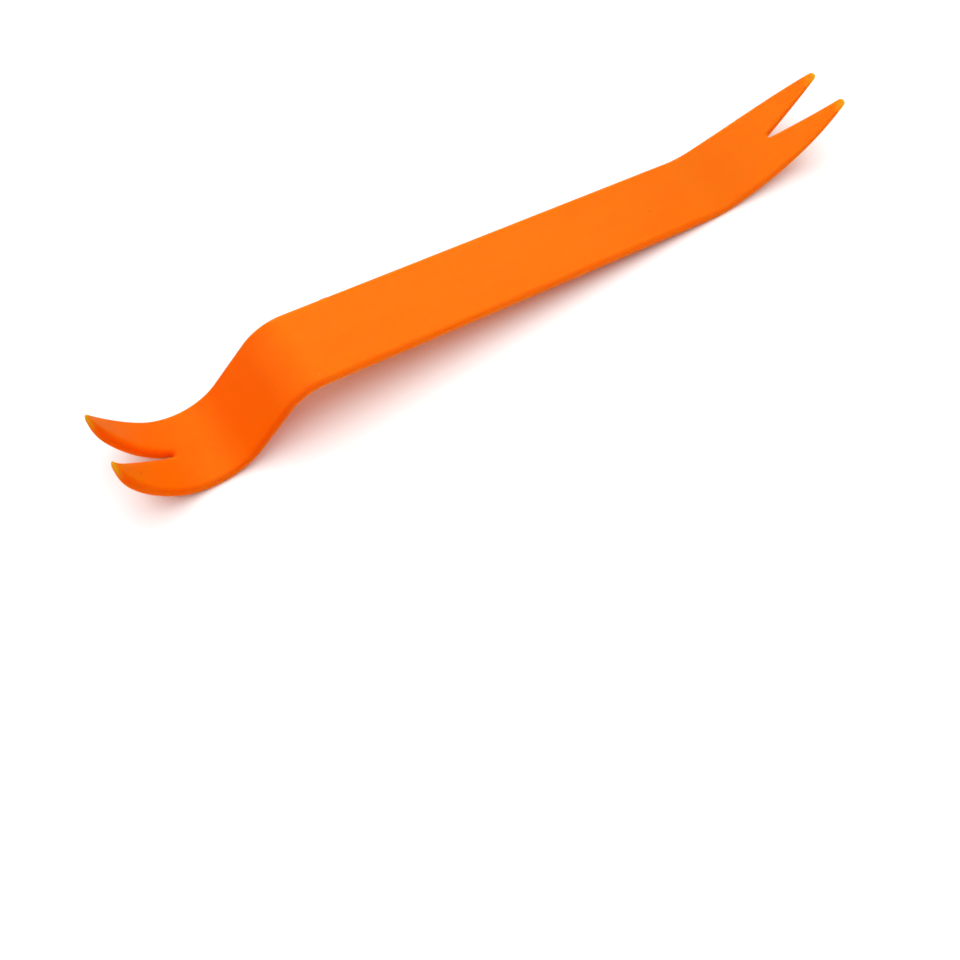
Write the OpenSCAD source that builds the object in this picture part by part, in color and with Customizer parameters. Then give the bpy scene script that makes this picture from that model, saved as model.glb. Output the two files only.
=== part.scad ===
// Trim removal tool: one moulded bar with a clip fork at one end and a gooseneck claw at the other.
// The bar is described flat, by the distance along it (s, from the claw's points) and across it (y),
// and is then folded along its side line. It lies as it comes to rest, on the trough and on the heel.

/* [Bar] */
// Width of the bar along the handle (mm)
bar_width = 20; // [16:0.5:26]
// Thickness of the bar between its two faces (mm)
bar_thickness = 2.4; // [2:0.1:3.6]
// Rounding of the edges of the top face (mm)
top_edge = 1.1; // [0.4:0.1:1.1]
// Rounding of the edges of the underside (mm)
lower_edge = 0.8; // [0.3:0.1:1.1]

/* [Handle] */
// Length of the straight handle (mm)
handle_length = 106.5; // [80:0.5:140]

/* [Gooseneck] */
// Radius of the top face over the shoulder (mm)
shoulder_radius = 12.2; // [8:0.1:18]
// Angle through which the shoulder turns down (degrees)
shoulder_turn = 51.5; // [40:0.5:60]
// Length of the straight riser between shoulder and trough (mm)
riser_length = 11.9; // [6:0.1:20]
// Radius of the top face in the trough (mm)
trough_radius = 12.5; // [9:0.5:16]
// Angle through which the trough turns up (degrees)
trough_turn = 86; // [70:0.5:95]

/* [Claw] */
// Length of the claw from the trough to its points (mm)
claw_length = 18; // [15:0.1:24]
// Angle through which the claw curls (degrees)
claw_turn = 35.5; // [20:0.5:50]
// Distance between the two points (mm)
claw_span = 12.6; // [10:0.1:14]
// Length over which the claw's sides draw in to the points (mm)
claw_taper = 21.5; // [16:0.5:24]
// Depth of the claw's slot from its points (mm)
claw_depth = 21.4; // [16:0.1:23]
// Width of the slot at its round end (mm)
claw_slot = 0.95; // [0.7:0.05:2]
// Radius of each point seen from above (mm)
claw_point = 0.25; // [0.2:0.05:0.5]
// Thickness of the claw at its points (mm)
claw_tip_thickness = 0.4; // [0.35:0.05:1.2]
// Length over which the claw thins to its points (mm)
claw_thinning = 7.5; // [5:0.5:14]

/* [Fork] */
// Radius of the top face at the heel (mm)
heel_radius = 23.5; // [12:0.5:40]
// Angle through which the heel turns up (degrees)
heel_turn = 19; // [12:0.5:28]
// Length of the fork from the heel to its tips (mm)
fork_length = 35.5; // [30:0.1:48]
// Angle through which the fork goes on curling up (degrees)
fork_turn = 14.5; // [4:0.5:24]
// Distance between the middles of the two tips (mm)
fork_span = 10.8; // [9:0.1:12]
// Length over which the fork's sides draw in to the tips (mm)
fork_taper = 61; // [48:1:80]
// Depth of the fork's notch from its tips (mm)
fork_depth = 18.7; // [14:0.1:26]
// Width of the notch at its round end (mm)
fork_notch = 0.95; // [0.7:0.05:1.6]
// Width of each tip (mm)
fork_tip = 2.1; // [1.4:0.1:2.4]
// Thickness of the fork at its tips (mm)
fork_tip_thickness = 0.9; // [0.7:0.05:1.5]
// Length over which the fork thins to its tips (mm)
fork_thinning = 34; // [24:1:40]

/* [Hidden] */
half_width = bar_width / 2;
// how late the curved sides draw in
claw_side_power = 4;
claw_slot_power = 1.82;
fork_side_power = 4.25;
// largest share of the thickness that one rounded edge takes
edge_share = 0.46;
// share of the tip radius that the edges take at the tips, and how fast they grow from there
tip_edge_share = 0.8;
claw_edge_growth = 0.35;
fork_edge_growth = 0.2;
// clear way between the middle line of a face and the ends of slot and notch
middle_margin = 1.2 * top_edge;

// facets round each edge, along each stretch, and round and along slot, point, tip and notch
top_steps = 4;
lower_steps = 3;
stretch_steps = [18, 20, 1, 12, 8, 6, 16];
round_steps = 5;
slot_steps = 18;
point_steps = 3;
tip_steps = 6;
notch_steps = 9;

// stretches of the side line: claw, trough, riser, shoulder, handle, heel, fork
trough_arc = trough_radius * trough_turn * PI / 180;
shoulder_arc = shoulder_radius * shoulder_turn * PI / 180;
heel_arc = heel_radius * heel_turn * PI / 180;
lengths = [claw_length, trough_arc, riser_length, shoulder_arc, handle_length, heel_arc, fork_length];
turns = [claw_turn, trough_turn, 0, -shoulder_turn, 0, heel_turn, fork_turn];
marks = [for (i = [0:7]) sum_to(lengths, i)];
bar_length = marks[7];
headings = [for (i = [0:6]) sum_to(turns, i) - sum_to(turns, 4)];
starts = [for (i = [0:6]) start_of(i)];

function sum_to(list, n) = n <= 0 ? 0 : list[n - 1] + sum_to(list, n - 1);

// way covered by a stretch that sets out with this heading and turns evenly
function travel(length, turn, heading) =
    turn == 0
        ? length * [cos(heading), sin(heading)]
        : length * 180 / PI / turn * [sin(heading + turn) - sin(heading), cos(heading) - cos(heading + turn)];

function start_of(i) =
    i == 0 ? [0, 0] : start_of(i - 1) + travel(lengths[i - 1], turns[i - 1], headings[i - 1]);

function stretch_at(s, i = 0) = i == 6 || s <= marks[i + 1] ? i : stretch_at(s, i + 1);

function heading_at(s) =
    let (i = stretch_at(s))
    headings[i] + turns[i] * (s - marks[i]) / lengths[i];

function top_at(s) =
    let (i = stretch_at(s), d = s - marks[i])
    starts[i] + travel(d, turns[i] * d / lengths[i], headings[i]);

function thickness_at(s) =
    bar_thickness
    - (bar_thickness - claw_tip_thickness) * pow(max(0, 1 - s / claw_thinning), 2)
    - (bar_thickness - fork_tip_thickness) * pow(max(0, 1 - (bar_length - s) / fork_thinning), 2);

// place of a point given along the bar, across it and below its top face
function fold(s, y, depth) =
    let (p = top_at(s), a = heading_at(s))
    [p[0] + depth * sin(a), y, p[1] - depth * cos(a)];

// values from a to b in n equal steps, without a
function steps(a, b, n) = [for (i = [1:n]) a + (b - a) * i / n];

// claw: the rounded point touches the side and the slot
claw_out = atan(claw_side_power * (half_width - claw_span / 2) / claw_taper);
claw_in = atan(claw_slot_power * (claw_span - claw_slot) / 2 / claw_depth);
claw_centre = claw_point * (1 / cos(claw_out) + 1 / cos(claw_in)) / (tan(claw_out) + tan(claw_in));
claw_across = claw_span / 2 + claw_centre * tan(claw_out) - claw_point / cos(claw_out);
claw_first = claw_centre - claw_point * sin(claw_out);
slot_last = claw_depth - claw_centre + claw_point * sin(claw_in);

// fork: the straight notch side touches the round tip and the round notch end
tip_radius = fork_tip / 2;
notch_radius = fork_notch / 2;
tip_middle = bar_length - tip_radius;
notch_middle = bar_length - fork_depth + notch_radius;
notch_reach = norm([tip_middle - notch_middle, fork_span / 2]);
fork_in = atan2(fork_span / 2, tip_middle - notch_middle) - asin((tip_radius + notch_radius) / notch_reach);
fork_out = atan(fork_side_power * (half_width - fork_span / 2 - tip_radius) / fork_taper);
tip_first = tip_middle + tip_radius * sin(fork_out);
tip_half = fork_span / 2 + tip_radius * cos(fork_out);
notch_top = [tip_middle + tip_radius * sin(fork_in), fork_span / 2 - tip_radius * cos(fork_in)];
notch_foot = [notch_middle - notch_radius * sin(fork_in), notch_radius * cos(fork_in)];

// half width of the bar
function side_at(s) =
    half_width
    - (half_width - claw_span / 2) * pow(max(0, 1 - s / claw_taper), claw_side_power)
    - (half_width - tip_half) * pow(max(0, 1 - (tip_first - s) / fork_taper), fork_side_power);

// half width of the claw's slot at distance d from its round end
function slot_at(d) = claw_slot / 2 + (claw_span - claw_slot) / 2 * pow(d / claw_depth, claw_slot_power);

// outline of the far half seen flat, from the slot's end round both tips to the notch's end
slot_round = [
    for (i = [0:round_steps])
        let (a = 90 * i / round_steps, d = claw_slot / 2 * (1 - cos(a)))
        [claw_depth - d, slot_at(d) - claw_slot / 2 * (1 - sin(a))]
];
slot_side = [for (d = steps(claw_slot / 2, slot_last, slot_steps)) [claw_depth - d, slot_at(d)]];
point_round = [
    for (i = [1 - point_steps:point_steps - 1])
        let (a = i / point_steps * (i < 0 ? 90 - claw_in : 90 - claw_out))
        [claw_centre - claw_point * cos(a), claw_across + claw_point * sin(a)]
];
side_stations = [
    claw_first,
    for (i = [0:6])
        each steps(max(claw_first, marks[i]), min(tip_first, marks[i + 1]), stretch_steps[i])
];
side = [for (s = side_stations) [s, side_at(s)]];
tip_round = [
    for (i = [tip_steps - 1:-1:1 - tip_steps])
        let (a = i / tip_steps * (i < 0 ? 90 - fork_in : 90 - fork_out))
        [tip_middle + tip_radius * cos(a), fork_span / 2 + tip_radius * sin(a)]
];
notch_side = concat([notch_top], [for (u = steps(0, 1, notch_steps)) notch_top + (notch_foot - notch_top) * u]);
notch_round = [
    for (u = steps(90 + fork_in, 180, round_steps))
        [notch_middle + notch_radius * cos(u), u == 180 ? 0 : notch_radius * sin(u)]
];
outline = concat(slot_round, slot_side, point_round, side, tip_round, notch_side, notch_round);
last = len(outline) - 1;
point_index = len(slot_round) + len(slot_side) + point_steps - 1;
tip_index = len(slot_round) + len(slot_side) + len(point_round) + len(side) + tip_steps - 1;

function mirrored(p) = [p[0], -p[1]];

// direction into the material, square to a step along the outline
function inward(a, b) = [b[1] - a[1], a[0] - b[0]] / norm(b - a);

// direction and length that move an outline point in by one unit on both sides
function inset_at(i) =
    let (
        before = i == 0 ? mirrored(outline[1]) : outline[i - 1],
        after = i == last ? mirrored(outline[last - 1]) : outline[i + 1],
        m = inward(before, outline[i]),
        n = inward(outline[i], after))
    (m + n) / (1 + m * n);

// rounding of an edge, smaller where the bar is thin or narrow
function edge_at(s, size) =
    min(
        size,
        edge_share * thickness_at(s),
        tip_edge_share * claw_point + claw_edge_growth * max(0, s - claw_centre),
        tip_edge_share * tip_radius + fork_edge_growth * max(0, tip_middle - s));

// one cut through the rounded edge: distance in from the outline, and depth below the top face
function edge_cut(s) =
    let (r = edge_at(s, top_edge), q = edge_at(s, lower_edge), t = thickness_at(s))
    concat(
        [for (a = [0:90 / top_steps:90]) [r * (1 - sin(a)), r * (1 - cos(a))]],
        [for (a = [0:90 / lower_steps:90]) [q * (1 - cos(a)), t - q * (1 - sin(a))]]);

cut_points = top_steps + lower_steps + 2;
half_rings = [
    for (i = [0:last])
        let (p = outline[i], v = inset_at(i))
        [for (c = edge_cut(p[0])) let (q = p + c[0] * v) fold(q[0], q[1], c[1])]
];
middle_stations = [
    for (s = side_stations)
        if (s > claw_depth + middle_margin && s < bar_length - fork_depth - middle_margin) s
];
middle_count = len(middle_stations);

// lean at which the underside touches a level surface on both sides of the handle's middle
underside = [for (s = middle_stations) let (p = fold(s, 0, thickness_at(s))) [p[0], p[2]]];
handle_middle = (starts[4] + starts[5])[0] / 2;

function height(p, lean) = p[0] * sin(lean) + p[1] * cos(lean);

function lowest(list, lean) =
    let (level = min([for (p = list) height(p, lean)]))
    [for (p = list) if (height(p, lean) == level) p][0];

function rest_lean(lean, rounds) =
    rounds < 1
        ? lean
        : let (
              a = lowest([for (p = underside) if (p[0] < handle_middle) p], lean),
              b = lowest([for (p = underside) if (p[0] > handle_middle) p], lean))
          rest_lean(-atan2(b[1] - a[1], b[0] - a[0]), rounds - 1);

lean_rounds = 6;
lean = rest_lean(0, lean_rounds);
function leaned(p) = [p[0] * cos(lean) - p[2] * sin(lean), p[1], p[0] * sin(lean) + p[2] * cos(lean)];

loose = [
    for (ring = half_rings)
        for (p = ring) leaned(p)
];
low_x = min([for (p = loose) p[0]]);
high_x = max([for (p = loose) p[0]]);
low_z = min([for (p = loose) p[2]]);
place = [-(low_x + high_x) / 2, 0, -low_z];

// all points: far half, near half mirrored from it, then the middle line of both faces
far_points = [for (p = loose) p + place];
near_points = [
    for (i = [last - 1:-1:1])
        for (k = [0:cut_points - 1])
            let (p = far_points[i * cut_points + k])
            [p[0], -p[1], p[2]]
];
middle_top = [for (s = middle_stations) leaned(fold(s, 0, 0)) + place];
middle_low = [for (s = middle_stations) leaned(fold(s, 0, thickness_at(s))) + place];
points = concat(far_points, near_points, middle_top, middle_low);

ring_count = 2 * last;
function near_index(i) = i == 0 || i == last ? i : ring_count - i;
function ring_point(i, k) = (i % ring_count) * cut_points + k;

edge_faces = [
    for (i = [0:ring_count - 1])
        for (k = [0:cut_points - 2])
            for (f = [
                [ring_point(i, k), ring_point(i, k + 1), ring_point(i + 1, k + 1)],
                [ring_point(i, k), ring_point(i + 1, k + 1), ring_point(i + 1, k)]])
                f
];

// each face of the bar is a ladder between its side and its slot, middle line and notch
side_chain = [for (i = [point_index:tip_index]) i];
slot_chain = [for (i = [point_index:-1:0]) i];
notch_chain = [for (i = [last:-1:tip_index]) i];

function chain(list, k, near) =
    [for (i = list) [ring_point(near ? near_index(i) : i, k), inset_s(i, k)]];

function inset_s(i, k) =
    let (p = outline[i], c = edge_cut(p[0])[k])
    p[0] + c[0] * inset_at(i)[0];

function middle_chain(first) = [for (i = [0:middle_count - 1]) [first + i, middle_stations[i]]];

function ladder(a, b, i, j, faces) =
    i == len(a) - 1 && j == len(b) - 1
        ? faces
        : let (on_a = j == len(b) - 1 || (i < len(a) - 1 && a[i + 1][1] <= b[j + 1][1]))
          on_a
              ? ladder(a, b, i + 1, j, rung(a[i][0], a[i + 1][0], b[j][0], faces))
              : ladder(a, b, i, j + 1, rung(a[i][0], b[j + 1][0], b[j][0], faces));

function rung(a, b, c, faces) = a == b || b == c || a == c ? faces : concat(faces, [[a, b, c]]);

function face_of(k, near, middle_first) =
    ladder(
        chain(side_chain, k, near),
        concat(chain(slot_chain, k, near), middle_chain(middle_first), chain(notch_chain, k, near)),
        0, 0, []);

function turned(faces) = [for (f = faces) [f[0], f[2], f[1]]];

first_middle = ring_count * cut_points;
top_faces = concat(face_of(0, false, first_middle), turned(face_of(0, true, first_middle)));
low_faces = concat(
    turned(face_of(cut_points - 1, false, first_middle + middle_count)),
    face_of(cut_points - 1, true, first_middle + middle_count));

module trim_tool() {
    color("#FA7B16") polyhedron(points, concat(edge_faces, top_faces, low_faces));
}

trim_tool();
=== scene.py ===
"""Trim removal tool: one moulded orange bar with a clip fork and a gooseneck claw, on a white studio floor."""

import bmesh
import bpy
import numpy as np
from mathutils import Matrix, Vector


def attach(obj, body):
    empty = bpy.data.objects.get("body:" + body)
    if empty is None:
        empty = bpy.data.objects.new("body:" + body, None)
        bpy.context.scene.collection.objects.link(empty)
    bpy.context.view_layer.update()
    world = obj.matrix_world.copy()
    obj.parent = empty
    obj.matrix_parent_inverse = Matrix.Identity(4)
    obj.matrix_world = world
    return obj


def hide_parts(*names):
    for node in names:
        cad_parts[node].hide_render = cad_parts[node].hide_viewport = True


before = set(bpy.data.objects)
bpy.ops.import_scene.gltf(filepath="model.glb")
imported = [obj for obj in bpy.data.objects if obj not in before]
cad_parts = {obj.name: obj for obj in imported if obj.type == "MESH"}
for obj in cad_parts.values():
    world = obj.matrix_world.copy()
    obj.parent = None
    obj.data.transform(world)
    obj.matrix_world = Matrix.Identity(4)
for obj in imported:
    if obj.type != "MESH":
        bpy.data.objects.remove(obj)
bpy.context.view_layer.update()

MM = 0.001

# All lengths are in millimetres. The bar, its side line and its outlines are those of the part's source,
# with finer claw points and finer edges at the tips.

# bar, and its rounded edges: their sizes, the most that they take of the thickness and of a tip's radius,
# and how fast they grow away from the tips
BAR_WIDTH, BAR_THICKNESS = 20.0, 2.4
TOP_EDGE, LOWER_EDGE = 1.1, 0.8
EDGE_SHARE, TIP_EDGE_SHARE = 0.46, 0.6
CLAW_EDGE_GROWTH, FORK_EDGE_GROWTH = 0.35, 0.2

# side line: claw, trough, riser, shoulder, handle, heel and fork, with the handle leaning down to the fork
CLAW_LENGTH, RISER_LENGTH, HANDLE_LENGTH, FORK_LENGTH = 18.0, 11.9, 106.5, 35.5
TROUGH_RADIUS, SHOULDER_RADIUS, HEEL_RADIUS = 12.5, 12.2, 23.5
CLAW_TURN, TROUGH_TURN, SHOULDER_TURN, HEEL_TURN, FORK_TURN = np.radians((35.5, 86.0, 51.5, 19.0, 14.5))
LEAN = np.radians(-7.922)
LENGTHS = np.array((
    CLAW_LENGTH, TROUGH_RADIUS * TROUGH_TURN, RISER_LENGTH, SHOULDER_RADIUS * SHOULDER_TURN,
    HANDLE_LENGTH, HEEL_RADIUS * HEEL_TURN, FORK_LENGTH))
TURNS = np.array((CLAW_TURN, TROUGH_TURN, 0.0, -SHOULDER_TURN, 0.0, HEEL_TURN, FORK_TURN))
BEFORE_HANDLE = 4
MARKS = np.concatenate(([0.0], np.cumsum(LENGTHS)))
BAR_LENGTH = MARKS[-1]
HEADINGS = LEAN - TURNS[:BEFORE_HANDLE].sum() + np.concatenate(([0.0], np.cumsum(TURNS)[:-1]))

# claw: span of its points with the length and power of its side curve, depth, width and power of its slot,
# and radius and thickness of its points with the length over which it thins
CLAW_SPAN, CLAW_TAPER, CLAW_SIDE_POWER = 12.6, 21.5, 4.0
CLAW_DEPTH, CLAW_SLOT, CLAW_SLOT_POWER = 21.4, 0.95, 1.82
CLAW_POINT, CLAW_TIP_THICKNESS, CLAW_THINNING = 0.12, 0.3, 7.5

# fork: span of its tips with the length and power of its side curve, depth and width of its notch,
# and width and thickness of its tips with the length over which it thins
FORK_SPAN, FORK_TAPER, FORK_SIDE_POWER = 10.8, 61.0, 4.25
FORK_DEPTH, FORK_NOTCH = 18.7, 0.95
FORK_TIP, FORK_TIP_THICKNESS, FORK_THINNING = 2.1, 0.9, 34.0

# roll-over of the slot's upper edge: its breadth over its depth, the length over which it broadens from the
# points, and the length over which it narrows again to the slot's round end
SLOT_SPREAD, SPREAD_RISE, SPREAD_FALL = 1.75, 6.0, 4.5

# flash line that the two halves of the mould leave round the wall: height, half width, the most that the half
# width takes of the wall, and the crest's share of the half width
FLASH_HEIGHT, FLASH_HALF, FLASH_SHARE, FLASH_CREST = 0.05, 0.09, 0.3, 0.35

# stub of the gate through which the mould was filled, on the far wall of the handle: place along the bar,
# half length, height, and the power that squares its ends
GATE_REACH, GATE_HALF, GATE_HEIGHT, GATE_POWER = 69.8, 0.9, 0.14, 4

# painted light through the thin ends, amber: how far it goes along a tine, and how fast it fades from the
# near side to the far one
CLAW_AMBER_LIGHT, CLAW_SLANT = 4.6, 2.2
FORK_AMBER_LIGHT, FORK_SLANT = 4.7, 0.28

# painted shade on the walls, a redder colour for the light they miss: on the bar's sides, and in the slot
# and notch, each with the factor that brings its curve to 1 at the highest
OUTER_WALL_SHADE, OUTER_PEAK = 0.65, 4.0
INNER_WALL_SHADE, INNER_PEAK = 0.9, 27 / 4

# dye along the bar with painted shade, redder in the bends: distance from the claw's points, and colour
DYE_AND_BEND_SHADE = ((0, "#FC6E00"), (18, "#FA7000"), (28, "#FA7C10"), (36, "#FC6A00"), (47, "#FC6900"),
       (59, "#FA8114"), (120, "#FA7D10"), (162, "#FA7406"), (180, "#FA7D12"), (205, "#FA8414"))

# other colours of the nylon: streaks of the flow, painted wall shade, painted light of the amber ends, sheen,
# and burnt specks and a pale spot
STREAK, WALL_SHADE, AMBER_LIGHT, SHEEN, BURNT, PALE = "#F36600", "#FF5600", "#DCA420", "#FFB060", "#983800", "#FFB070"
STREAK_SHARE, WALL_SHADE_SHARE, AMBER_LIGHT_FULL = 0.14, 0.5, 0.85

# specks: burnt ones in the melt and one pale spot; place, radius, strength and colour, and where they start
# and stop fading in radii
SPECKS = (((40.6, -2.1, 4.6), 0.26, 0.4, BURNT), ((-91.9, -6.1, 12.2), 0.3, 0.35, BURNT),
          ((-61.5, -8.3, 13.5), 0.2, 0.12, BURNT), ((-51.4, -8.1, 17.4), 0.3, 0.3, PALE))
SPECK_CORE, SPECK_RIM = 0.4, 1.3

# flow marks: width, length over width, and the noise values between which a streak grows
FLOW_WIDTH, FLOW_STRETCH, FLOW_LOW, FLOW_HIGH = 5.0, 6, 0.35, 0.75

# grain of the mould: width as drawn, height, strength, and the roughness that it gives
GRAIN_WIDTH, GRAIN_HEIGHT, GRAIN_STRENGTH = 0.45, 0.03, 0.15
SATIN_LOW, SATIN_HIGH = 0.48, 0.64

# nylon: IOR, gloss of the satin skin, and how far red, green and blue light spread inside it
NYLON_IOR, GLOSS = 1.53, 0.06
GLOW_REACH, GLOW_COLOURS, GLOW_FORWARD = 4, (1.0, 0.28, 0.08), 0.7

# studio: strength, breadth and direction of the overhead light, level of the room, tone of the paper to the
# light and to the camera, and side of the floor in metres
OVERHEAD, OVERHEAD_ANGLE, OVERHEAD_FROM = 1.0, np.radians(80), (0.02, 0.02, 1.0)
ROOM_LEVEL = 0.15
PAPER_TONE, PAPER_SEEN = 0.96, 1.04
FLOOR_SIDE = 4.0

# camera of the photograph: place, direction, roll, focal length in pixels of a picture this wide, and near clip
# in metres
CAMERA_PLACE, CAMERA_AIM = (-91.92, -130.16, 204.01), (0.25849, 0.39381, -0.8821)
CAMERA_ROLL = np.radians(-0.173)
FOCAL_PIXELS, PICTURE_WIDTH, SENSOR_WIDTH = 1084.82, 960, 36.0
NEAR_CLIP = 0.01

# facets: steps along the bar, strips across a face, facets of the edges and round ends, the plain rows'
# distance from the slot and notch, and the distance within which points are sewn together
CURVED_STEP, STRAIGHT_STEP, GATE_STEP = 0.4, 2.0, 0.25
ACROSS = 12
TOP_FACETS, LOWER_FACETS = 7, 5
POINT_FACETS, TIP_FACETS, ROUND_FACETS = 4, 9, 9
SLOT_FACETS, NOTCH_FACETS = 56, 40
RIM_MARGIN = 1.4 * TOP_EDGE
SEWN = 0.002


def chord(length, turn):
    """Straight distance between an arc's ends: its length times sin(half the turn) over half the turn."""
    return length * np.sinc(turn / 2 / np.pi)


def along(angle):
    """Unit steps (x, z) in the side view, at these angles above the horizontal."""
    return np.stack((np.cos(angle), np.sin(angle)), -1)


STARTS = np.concatenate((
    np.zeros((1, 2)),
    np.cumsum(chord(LENGTHS, TURNS)[:, None] * along(HEADINGS + TURNS / 2), axis=0)[:-1]))


def side_line(s):
    """Top face seen from the side at distance s along it: the start of its stretch plus the chord to s.
    A stretch turns evenly, so its chord points half way between its headings at the start and at s."""
    i = np.clip(np.searchsorted(MARKS, s) - 1, 0, len(LENGTHS) - 1)
    d = s - MARKS[i]
    turn = TURNS[i] * d / LENGTHS[i]
    return STARTS[i] + chord(d, turn)[..., None] * along(HEADINGS[i] + turn / 2), HEADINGS[i] + turn


def thickness(s):
    """Thickness of the bar: full, less a square fall to the claw's points and one to the fork's tips."""
    to_point = np.clip(1 - s / CLAW_THINNING, 0, None)
    to_tip = np.clip(1 - (BAR_LENGTH - s) / FORK_THINNING, 0, None)
    return (BAR_THICKNESS - (BAR_THICKNESS - CLAW_TIP_THICKNESS) * to_point ** 2
            - (BAR_THICKNESS - FORK_TIP_THICKNESS) * to_tip ** 2)


def fold(flat, depth):
    """Points given along the bar, across it and below its top face, laid on the side line: the line's point at
    that distance, moved down square to the line by the depth."""
    line, heading = side_line(flat[..., 0])
    return np.stack((
        line[..., 0] + depth * np.sin(heading),
        flat[..., 1],
        line[..., 1] - depth * np.cos(heading)), -1)


# claw: the rounded point touches the side and the slot
half_width = BAR_WIDTH / 2
claw_out = np.arctan(CLAW_SIDE_POWER * (half_width - CLAW_SPAN / 2) / CLAW_TAPER)
claw_in = np.arctan(CLAW_SLOT_POWER * (CLAW_SPAN - CLAW_SLOT) / 2 / CLAW_DEPTH)
claw_centre = CLAW_POINT * (1 / np.cos(claw_out) + 1 / np.cos(claw_in)) / (np.tan(claw_out) + np.tan(claw_in))
claw_across = CLAW_SPAN / 2 + claw_centre * np.tan(claw_out) - CLAW_POINT / np.cos(claw_out)
claw_first = claw_centre - CLAW_POINT * np.sin(claw_out)
slot_first = claw_centre - CLAW_POINT * np.sin(claw_in)

# fork: the straight notch side touches the round tip and the round notch end
tip_radius = FORK_TIP / 2
notch_radius = FORK_NOTCH / 2
tip_middle = BAR_LENGTH - tip_radius
notch_root = BAR_LENGTH - FORK_DEPTH
notch_middle = notch_root + notch_radius
notch_run = tip_middle - notch_middle
fork_in = (np.arctan2(FORK_SPAN / 2, notch_run)
           - np.arcsin((tip_radius + notch_radius) / np.hypot(notch_run, FORK_SPAN / 2)))
fork_out = np.arctan(FORK_SIDE_POWER * (half_width - FORK_SPAN / 2 - tip_radius) / FORK_TAPER)
tip_first = tip_middle + tip_radius * np.sin(fork_out)
tip_half = FORK_SPAN / 2 + tip_radius * np.cos(fork_out)


def half_side(s):
    """Half width of the bar: full, less a power curve to the claw's points and one to the fork's tips."""
    to_point = np.clip(1 - s / CLAW_TAPER, 0, None)
    to_tip = np.clip(1 - (tip_first - s) / FORK_TAPER, 0, None)
    return (half_width - (half_width - CLAW_SPAN / 2) * to_point ** CLAW_SIDE_POWER
            - (half_width - tip_half) * to_tip ** FORK_SIDE_POWER)


def half_slot(d):
    """Half width of the claw's slot, a power curve of the distance d from its round end."""
    return CLAW_SLOT / 2 + (CLAW_SPAN - CLAW_SLOT) / 2 * (d / CLAW_DEPTH) ** CLAW_SLOT_POWER


def pairs(s, y):
    """Points of the flat outline from their distances along and across."""
    return np.stack(np.broadcast_arrays(s, y), -1)


def even(a, b, step):
    """Distances from a to b in equal steps no longer than this one, without b."""
    return np.linspace(a, b, int(np.ceil((b - a) / step)), endpoint=False)


def inward(chain):
    """Unit steps into the material: a chain's direction turned a quarter to the right, where the material is."""
    t = np.gradient(chain, axis=0)
    return np.stack((t[:, 1], -t[:, 0]), -1) / np.linalg.norm(t, axis=1, keepdims=True)


def edge_size(s, size):
    """Radius of a rounded edge: the least of its full size, a share of the thickness, and a share of a tip's
    radius that grows evenly away from that tip."""
    return np.minimum.reduce((
        np.full_like(s, size),
        EDGE_SHARE * thickness(s),
        TIP_EDGE_SHARE * CLAW_POINT + CLAW_EDGE_GROWTH * np.clip(s - claw_centre, 0, None),
        TIP_EDGE_SHARE * tip_radius + FORK_EDGE_GROWTH * np.clip(tip_middle - s, 0, None)))


def slot_spread(s):
    """Breadth over depth of the slot's rounded upper edge: it grows evenly from 1 at the points, and falls
    evenly to 1 at the round end."""
    share = np.minimum((s - claw_centre) / SPREAD_RISE, (CLAW_DEPTH - CLAW_SLOT - s) / SPREAD_FALL)
    return 1 + (SLOT_SPREAD - 1) * np.clip(share, 0, 1)


def rim_reach(chain, spread):
    """Distances along the bar at which the top face starts beside a slot or notch: the chain, which starts at
    its round end, plus the edge's breadth along the bar."""
    closed = np.concatenate((chain[1:2] * (1, -1), chain))
    away = np.sign(chain[0, 0] - chain[-1, 0])
    return chain[:, 0] + spread * edge_size(chain[:, 0], TOP_EDGE) * away * np.abs(inward(closed)[1:, 0])


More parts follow.
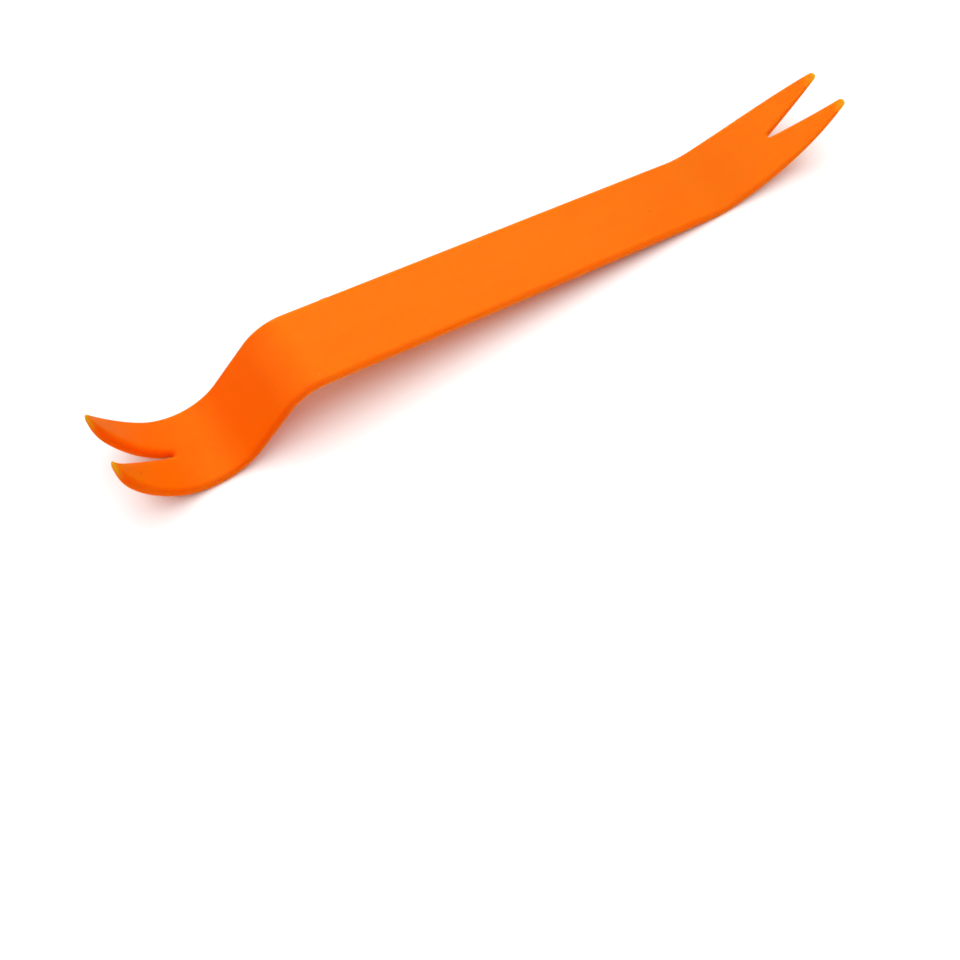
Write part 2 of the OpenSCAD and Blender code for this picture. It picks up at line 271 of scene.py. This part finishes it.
def outlines():
    """Far half of the flat outline as two chains with matching rows, from the claw's point to the fork's tip.
    The inner chain follows the slot, the middle line and the notch, and the outer chain follows the side.
    Points, tips and round ends are arcs. Also gives the rows of the slot's and the notch's round ends."""
    turn = np.linspace(0, 1, POINT_FACETS)
    a_in, a_out = turn * (np.pi / 2 - claw_in), turn * (np.pi / 2 - claw_out)
    point_in = pairs(claw_centre - CLAW_POINT * np.cos(a_in), claw_across - CLAW_POINT * np.sin(a_in))
    point_out = pairs(claw_centre - CLAW_POINT * np.cos(a_out), claw_across + CLAW_POINT * np.sin(a_out))

    reach = np.linspace(CLAW_DEPTH - slot_first, CLAW_SLOT / 2, SLOT_FACETS + 1)
    a = np.linspace(np.pi / 2, 0, ROUND_FACETS + 1)[1:]
    end = CLAW_SLOT / 2 * (1 - np.cos(a))
    slot = np.concatenate((
        pairs(CLAW_DEPTH - reach, half_slot(reach)),
        pairs(CLAW_DEPTH - end, half_slot(end) - CLAW_SLOT / 2 * (1 - np.sin(a)))))
    rim = rim_reach(slot[::-1], slot_spread(slot[::-1, 0]))[::-1]
    slot_side = claw_first + (rim - rim[0]) * (rim[-1] - claw_first) / (rim[-1] - rim[0])

    # the solid middle, with finer rows at the bends and round the gate
    gate = GATE_REACH + 2 * GATE_HALF * np.array((-1, 1))
    breaks = np.concatenate((
        [CLAW_DEPTH + RIM_MARGIN], MARKS[2:5], gate, MARKS[5:7], [notch_root - RIM_MARGIN]))
    step = (CURVED_STEP, STRAIGHT_STEP, CURVED_STEP, STRAIGHT_STEP,
            GATE_STEP, STRAIGHT_STEP, CURVED_STEP, CURVED_STEP)
    middle = np.concatenate([even(a, b, c) for a, b, c in zip(breaks, breaks[1:], step)] + [breaks[-1:]])

    a = np.pi - np.linspace(0, 1, ROUND_FACETS + 1) * (np.pi / 2 - fork_in)
    notch_end = pairs(notch_middle + notch_radius * np.cos(a), notch_radius * np.sin(a))
    notch_end[0, 1] = 0
    lip = np.array((tip_middle + tip_radius * np.sin(fork_in), FORK_SPAN / 2 - tip_radius * np.cos(fork_in)))
    share = np.linspace(0, 1, NOTCH_FACETS + 1)[1:, None]
    notch = np.concatenate((notch_end, notch_end[-1] + (lip - notch_end[-1]) * share))
    rim = rim_reach(notch, 1)
    notch_side = rim[0] + (rim - rim[0]) * (tip_first - rim[0]) / (rim[-1] - rim[0])
    turn = np.linspace(1, 0, TIP_FACETS + 1)[1:]
    a_in, a_out = turn * (np.pi / 2 - fork_in), turn * (np.pi / 2 - fork_out)
    tip_in = pairs(tip_middle + tip_radius * np.cos(a_in), FORK_SPAN / 2 - tip_radius * np.sin(a_in))
    tip_out = pairs(tip_middle + tip_radius * np.cos(a_out), FORK_SPAN / 2 + tip_radius * np.sin(a_out))

    inner = np.concatenate((point_in[:-1], slot, pairs(middle, 0.0), notch, tip_in))
    sides = np.concatenate((slot_side, middle, notch_side))
    outer = np.concatenate((point_out[:-1], pairs(sides, half_side(sides)), tip_out))
    slot_row = len(point_in) + len(slot) - 2
    return inner, outer, slot_row, slot_row + len(middle) + 1


def edge_strip(chain, inset, spread):
    """Rounded edge carried along a chain: a quarter circle or ellipse, a short wall with the flash line, and a
    quarter circle. Gives flat places and depths below the top face, one row for each point of the chain."""
    s = chain[:, 0]
    r, q, t = edge_size(s, TOP_EDGE)[:, None], edge_size(s, LOWER_EDGE)[:, None], thickness(s)[:, None]
    a = np.linspace(0, np.pi / 2, TOP_FACETS + 1)
    b = np.linspace(0, np.pi / 2, LOWER_FACETS + 1)
    wall = t - q - r
    half = np.minimum(FLASH_HALF, FLASH_SHARE * wall)
    flash = half * FLASH_HEIGHT / FLASH_HALF
    line = r + wall / 2 + half * np.array((-1.0, -FLASH_CREST, FLASH_CREST, 1.0))
    proud = -flash * np.array((0.0, 1.0, 1.0, 0.0))
    inwards = np.concatenate((spread * r * (1 - np.sin(a)), proud, q * (1 - np.cos(b))), 1)
    flat = chain[:, None] + inwards[..., None] * inset[:, None]
    low = thickness(flat[..., -LOWER_FACETS - 1:, 0]) - q * (1 - np.sin(b))
    return flat, np.concatenate((r * (1 - np.cos(a)), line, low), 1)


def bar_mesh():
    """Far half of the bar as rows of closed rings, and its mirror image, joined along the middle line.
    A ring runs out over the top face, round the side's edge, back under the bar and up the inner edge.
    The gate's stub is a bump on the far wall: exp of minus a power of the distance from its middle.
    Also gives each point's share of the length, how much painted wall shade it gets (0 on the faces, most half
    way down the sides and a third of the way down the slot and notch), and how much painted light an end gets,
    as if light came through it, which falls evenly along and across it."""
    inner, outer, slot_row, notch_row = outlines()
    rows = len(inner)
    row = np.arange(rows)
    solid = (row > slot_row) & (row < notch_row)
    slot, notch = inner[:slot_row + 1], inner[notch_row:]
    mirror = np.array((1.0, -1.0))
    closed = np.concatenate((
        slot[-2:-1] * mirror, slot[:0:-1], outer[:-1], notch[::-1], notch[1:2] * mirror))
    steps_in = inward(closed)[1:-1]
    inset_out = steps_in[slot_row:slot_row + rows]
    inset_in = np.zeros((rows, 2))
    inset_in[:slot_row + 1] = steps_in[slot_row::-1]
    inset_in[notch_row:] = steps_in[slot_row + rows - 1:][::-1]

    spread = np.where(row <= slot_row, slot_spread(inner[:, 0]), 1.0)[:, None]
    out_flat, out_depth = edge_strip(outer, inset_out, 1)
    in_flat, in_depth = edge_strip(inner, inset_in, spread)
    in_depth[solid, -1] = thickness(inner[solid, 0])
    in_depth[solid, 0] = 0

    # the faces between the edges, with narrow strips beside them
    v = (1 - np.cos(np.linspace(0, np.pi, ACROSS + 1)))[1:-1, None] / 2
    top = in_flat[:, :1] + (out_flat[:, :1] - in_flat[:, :1]) * v
    low = out_flat[:, -1:] + (in_flat[:, -1:] - out_flat[:, -1:]) * v
    flat = np.concatenate((top, out_flat, low, in_flat[:, ::-1]), 1)
    depth = np.concatenate((
        np.zeros(top.shape[:2]), out_depth, thickness(low[..., 0]), in_depth[:, ::-1]), 1)
    points = fold(flat, depth)
    around = points.shape[1]

    # quads between neighbouring rings, without an inner wall where the bar is solid
    index = np.arange(rows * around).reshape(rows, around)
    turned = np.roll(index, -1, axis=1)
    quads = np.stack((index[:-1], index[1:], turned[1:], turned[:-1]), -1)
    wall_start = top.shape[1] + out_flat.shape[1] + low.shape[1]
    keep = np.ones(quads.shape[:2], bool)
    bare = solid | (row == slot_row)
    keep[bare[:-1], wall_start:around - 1] = False
    quads = quads[keep]
    far = points.reshape(-1, 3)
    near = far * (1, -1, 1)

    s, y = flat[..., 0], flat[..., 1]
    to_side = (y - inner[:, 1:]) / np.maximum(outer[:, 1:] - inner[:, 1:], CLAW_POINT)
    # painted light through the thin ends: the share of amber, falling along and across each end
    to_end = np.minimum(s / CLAW_AMBER_LIGHT, (BAR_LENGTH - s) / FORK_AMBER_LIGHT)
    slant = np.where(s < BAR_LENGTH / 2, CLAW_SLANT, FORK_SLANT)
    thin = [np.clip(1 - to_end - slant * share, 0, 1) for share in (to_side, 1 - to_side)]
    outmost = np.clip((y + LOWER_EDGE - half_width) / LOWER_EDGE, 0, 1)
    bump = np.exp(-((s - GATE_REACH) / GATE_HALF) ** GATE_POWER) * outmost
    far = far + (GATE_HEIGHT * bump).reshape(-1, 1) * (0, 1, 0)
    down = depth / thickness(s)
    # painted shade: the share of the redder wall colour that stands in for the light the walls miss
    wall = np.where(np.arange(around) < wall_start,
                    OUTER_WALL_SHADE * OUTER_PEAK * down * (1 - down),
                    INNER_WALL_SHADE * INNER_PEAK * down * (1 - down) ** 2)
    return (np.concatenate((far, near)), np.concatenate((quads, quads[:, ::-1] + len(far))),
            {"reach": np.tile(s.ravel(), 2) / BAR_LENGTH, "wall": np.tile(wall.ravel(), 2),
             "thin": np.ravel(thin)})


def tool_object(name):
    """Mesh object of the bar, its halves and tips sewn together, lying on the floor with its box centred."""
    points, quads, values = bar_mesh()
    low, high = points.min(0), points.max(0)
    points = (points - ((low[0] + high[0]) / 2, 0, low[2])) * MM
    mesh = bpy.data.meshes.new(name)
    mesh.from_pydata(points, [], quads.tolist())
    for key, value in values.items():
        mesh.attributes.new(key, "FLOAT", "POINT").data.foreach_set("value", value)
    work = bmesh.new()
    work.from_mesh(mesh)
    bmesh.ops.remove_doubles(work, verts=work.verts, dist=SEWN * MM)
    bmesh.ops.delete(work, geom=[vert for vert in work.verts if not vert.link_faces], context="VERTS")
    bmesh.ops.recalc_face_normals(work, faces=work.faces)
    work.to_mesh(mesh)
    work.free()
    mesh.shade_smooth()
    piece = bpy.data.objects.new(name, mesh)
    bpy.context.scene.collection.objects.link(piece)
    return piece


def linear(code):
    """Linear colour of an sRGB hex value."""
    c = np.array([int(code[i:i + 2], 16) for i in (1, 3, 5)]) / 255
    return (*np.where(c <= 0.04045, c / 12.92, ((c + 0.055) / 1.055) ** 2.4), 1.0)


def add(tree, kind, links=(), values=(), **settings):
    """Adds a node with its settings, its (socket, value) pairs and its (socket, source, output) links."""
    made = tree.nodes.new(kind)
    for key, value in settings.items():
        setattr(made, key, value)
    for socket, value in values:
        made.inputs[socket].default_value = value
    for socket, source, output in links:
        tree.links.new(source.outputs[output], made.inputs[socket])
    return made


def shader_tree(owner):
    """Empty node tree of a material or world."""
    owner.use_nodes = True
    owner.node_tree.nodes.clear()
    return owner.node_tree


def moulded_nylon():
    """Injection-moulded nylon, dyed orange in the mass, from a finely blasted mould. The eye sees an even warm
    orange with a satin sheen, faint flow marks and a few specks. Painted shade makes it a little redder in the
    bends and on the walls, and painted light makes it amber at the thin ends."""
    made = bpy.data.materials.new("injection_moulded_nylon")
    tree = shader_tree(made)
    place = add(tree, "ShaderNodeTexCoord")
    reach = add(tree, "ShaderNodeAttribute", attribute_name="reach")
    wall = add(tree, "ShaderNodeAttribute", attribute_name="wall")
    thin = add(tree, "ShaderNodeAttribute", attribute_name="thin")

    # dye along the bar, with painted shade that makes the bends redder
    dye_and_bend_shade = add(tree, "ShaderNodeValToRGB", [("Fac", reach, "Fac")])
    for at, code in DYE_AND_BEND_SHADE:
        dye_and_bend_shade.color_ramp.elements.new(at / BAR_LENGTH).color = linear(code)
    dye_and_bend_shade.color_ramp.elements.remove(dye_and_bend_shade.color_ramp.elements[0])
    dye_and_bend_shade.color_ramp.elements.remove(dye_and_bend_shade.color_ramp.elements[-1])

    # flow marks: streaks in the melt, about 5 mm wide and six times as long
    stretch = add(tree, "ShaderNodeMapping", [("Vector", place, "Object")],
                  [("Scale", (1 / FLOW_STRETCH, 1, 1))])
    flow = add(tree, "ShaderNodeTexNoise", [("Vector", stretch, "Vector")],
               [("Scale", 1 / (FLOW_WIDTH * MM)), ("Detail", 2.0), ("Roughness", 0.45)])
    streak = add(tree, "ShaderNodeMapRange", [("Value", flow, "Fac")],
                 [("From Min", FLOW_LOW), ("From Max", FLOW_HIGH), ("To Max", STREAK_SHARE)])
    colour = add(tree, "ShaderNodeMix", [(0, streak, 0), (6, dye_and_bend_shade, "Color")],
                 [(7, linear(STREAK))], data_type="RGBA")

    # painted shade: the walls get a redder colour in place of the light that they miss
    painted_wall_shade = add(tree, "ShaderNodeMapRange", [("Value", wall, "Fac")], [("To Max", WALL_SHADE_SHARE)])
    colour = add(tree, "ShaderNodeMix", [(0, painted_wall_shade, 0), (6, colour, 2)],
                 [(7, linear(WALL_SHADE))], data_type="RGBA")

    # painted light: amber where the ends are thin enough to let light through
    clear = add(tree, "ShaderNodeMapRange", [("Value", thin, "Fac")], [("From Max", AMBER_LIGHT_FULL)],
                interpolation_type="SMOOTHSTEP")
    colour = add(tree, "ShaderNodeMix", [(0, clear, 0), (6, colour, 2)],
                 [(7, linear(AMBER_LIGHT))], data_type="RGBA")

    # burnt specks in the melt, and one pale spot
    for at, radius, share, code in SPECKS:
        away = add(tree, "ShaderNodeVectorMath", [(0, place, "Object")],
                   [(1, np.array(at) * MM)], operation="DISTANCE")
        spot = add(tree, "ShaderNodeMapRange", [("Value", away, "Value")],
                   [("From Min", SPECK_CORE * radius * MM), ("From Max", SPECK_RIM * radius * MM),
                    ("To Min", share), ("To Max", 0.0)], interpolation_type="SMOOTHSTEP")
        colour = add(tree, "ShaderNodeMix", [(0, spot, 0), (6, colour, 2)],
                     [(7, linear(code))], data_type="RGBA")

    # grain of the blasted mould: about 0.1 mm in fact, drawn at 0.45 mm so that it shows
    grain = add(tree, "ShaderNodeTexNoise", [("Vector", place, "Object")],
                [("Scale", 1 / (GRAIN_WIDTH * MM)), ("Detail", 3.0), ("Roughness", 0.55)])
    satin = add(tree, "ShaderNodeMapRange", [("Value", grain, "Fac")],
                [("To Min", SATIN_LOW), ("To Max", SATIN_HIGH)])
    bump = add(tree, "ShaderNodeBump", [("Height", grain, "Fac")],
               [("Strength", GRAIN_STRENGTH), ("Distance", GRAIN_HEIGHT * MM)])
    skin = add(tree, "ShaderNodeBsdfPrincipled",
               [("Base Color", colour, 2), ("Roughness", satin, 0), ("Normal", bump, "Normal")],
               [("IOR", NYLON_IOR), ("Specular IOR Level", GLOSS), ("Specular Tint", linear(SHEEN)),
                ("Subsurface Weight", 1.0), ("Subsurface Radius", GLOW_COLOURS),
                ("Subsurface Scale", GLOW_REACH * MM), ("Subsurface Anisotropy", GLOW_FORWARD)])
    add(tree, "ShaderNodeOutputMaterial", [("Surface", skin, "BSDF")])
    return made


def white_paper():
    """Matt white paper sweep: it shows white to the camera and keeps the tool's shadow."""
    made = bpy.data.materials.new("matt_white_paper")
    tree = shader_tree(made)
    path = add(tree, "ShaderNodeLightPath")
    tone = add(tree, "ShaderNodeMapRange", [("Value", path, "Is Camera Ray")],
               [("To Min", PAPER_TONE), ("To Max", PAPER_SEEN)])
    paper = add(tree, "ShaderNodeBsdfDiffuse", [("Color", tone, 0)])
    add(tree, "ShaderNodeOutputMaterial", [("Surface", paper, "BSDF")])
    return made


def paper_floor():
    """Flat square floor at height 0."""
    corner = FLOOR_SIDE / 2 * np.array(((-1, -1, 0), (1, -1, 0), (1, 1, 0), (-1, 1, 0)))
    mesh = bpy.data.meshes.new("floor")
    mesh.from_pydata(corner, [], [(0, 1, 2, 3)])
    made = bpy.data.objects.new("floor", mesh)
    bpy.context.scene.collection.objects.link(made)
    made.data.materials.append(white_paper())


def studio():
    """Soft overhead light from one wide source, whose energy is pi at strength 1, and a room that is white to
    the eye and dim to the tool."""
    sun = bpy.data.lights.new("overhead", "SUN")
    sun.energy = OVERHEAD * np.pi
    sun.angle = OVERHEAD_ANGLE
    lamp = bpy.data.objects.new("overhead", sun)
    lamp.rotation_euler = Vector(OVERHEAD_FROM).to_track_quat("Z", "Y").to_euler()
    bpy.context.scene.collection.objects.link(lamp)
    world = bpy.data.worlds.new("room")
    tree = shader_tree(world)
    path = add(tree, "ShaderNodeLightPath")
    seen = add(tree, "ShaderNodeMath", [(0, path, "Is Camera Ray"), (1, path, "Is Glossy Ray")],
               operation="MAXIMUM")
    seen = add(tree, "ShaderNodeMath", [(0, seen, 0), (1, path, "Is Transmission Ray")], operation="MAXIMUM")
    level = add(tree, "ShaderNodeMapRange", [("Value", seen, 0)], [("To Min", ROOM_LEVEL)])
    room = add(tree, "ShaderNodeBackground", [("Strength", level, 0)], [("Color", (1, 1, 1, 1))])
    add(tree, "ShaderNodeOutputWorld", [("Surface", room, "Background")])
    bpy.context.scene.world = world


def photo_camera():
    """Camera of the photograph: high over the claw's end, looking down along the tool."""
    forward = Vector(CAMERA_AIM).normalized()
    right = forward.cross(Vector((0, 0, 1))).normalized()
    up = right.cross(forward)
    roll = Matrix.Rotation(CAMERA_ROLL, 3, forward)
    data = bpy.data.cameras.new("camera")
    data.sensor_width = SENSOR_WIDTH
    data.lens = FOCAL_PIXELS * SENSOR_WIDTH / PICTURE_WIDTH
    data.clip_start = NEAR_CLIP
    made = bpy.data.objects.new("camera", data)
    turn = Matrix((right, up, -forward)).transposed()
    made.matrix_world = Matrix.Translation(Vector(CAMERA_PLACE) * MM) @ (roll @ turn).to_4x4()
    bpy.context.scene.collection.objects.link(made)
    bpy.context.scene.camera = made


bpy.context.scene.view_settings.view_transform = "Standard"
photo_camera()
studio()
paper_floor()

tool = tool_object("moulded_bar")
tool.data.materials.append(moulded_nylon())
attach(tool, "root")
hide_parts("trim_tool")
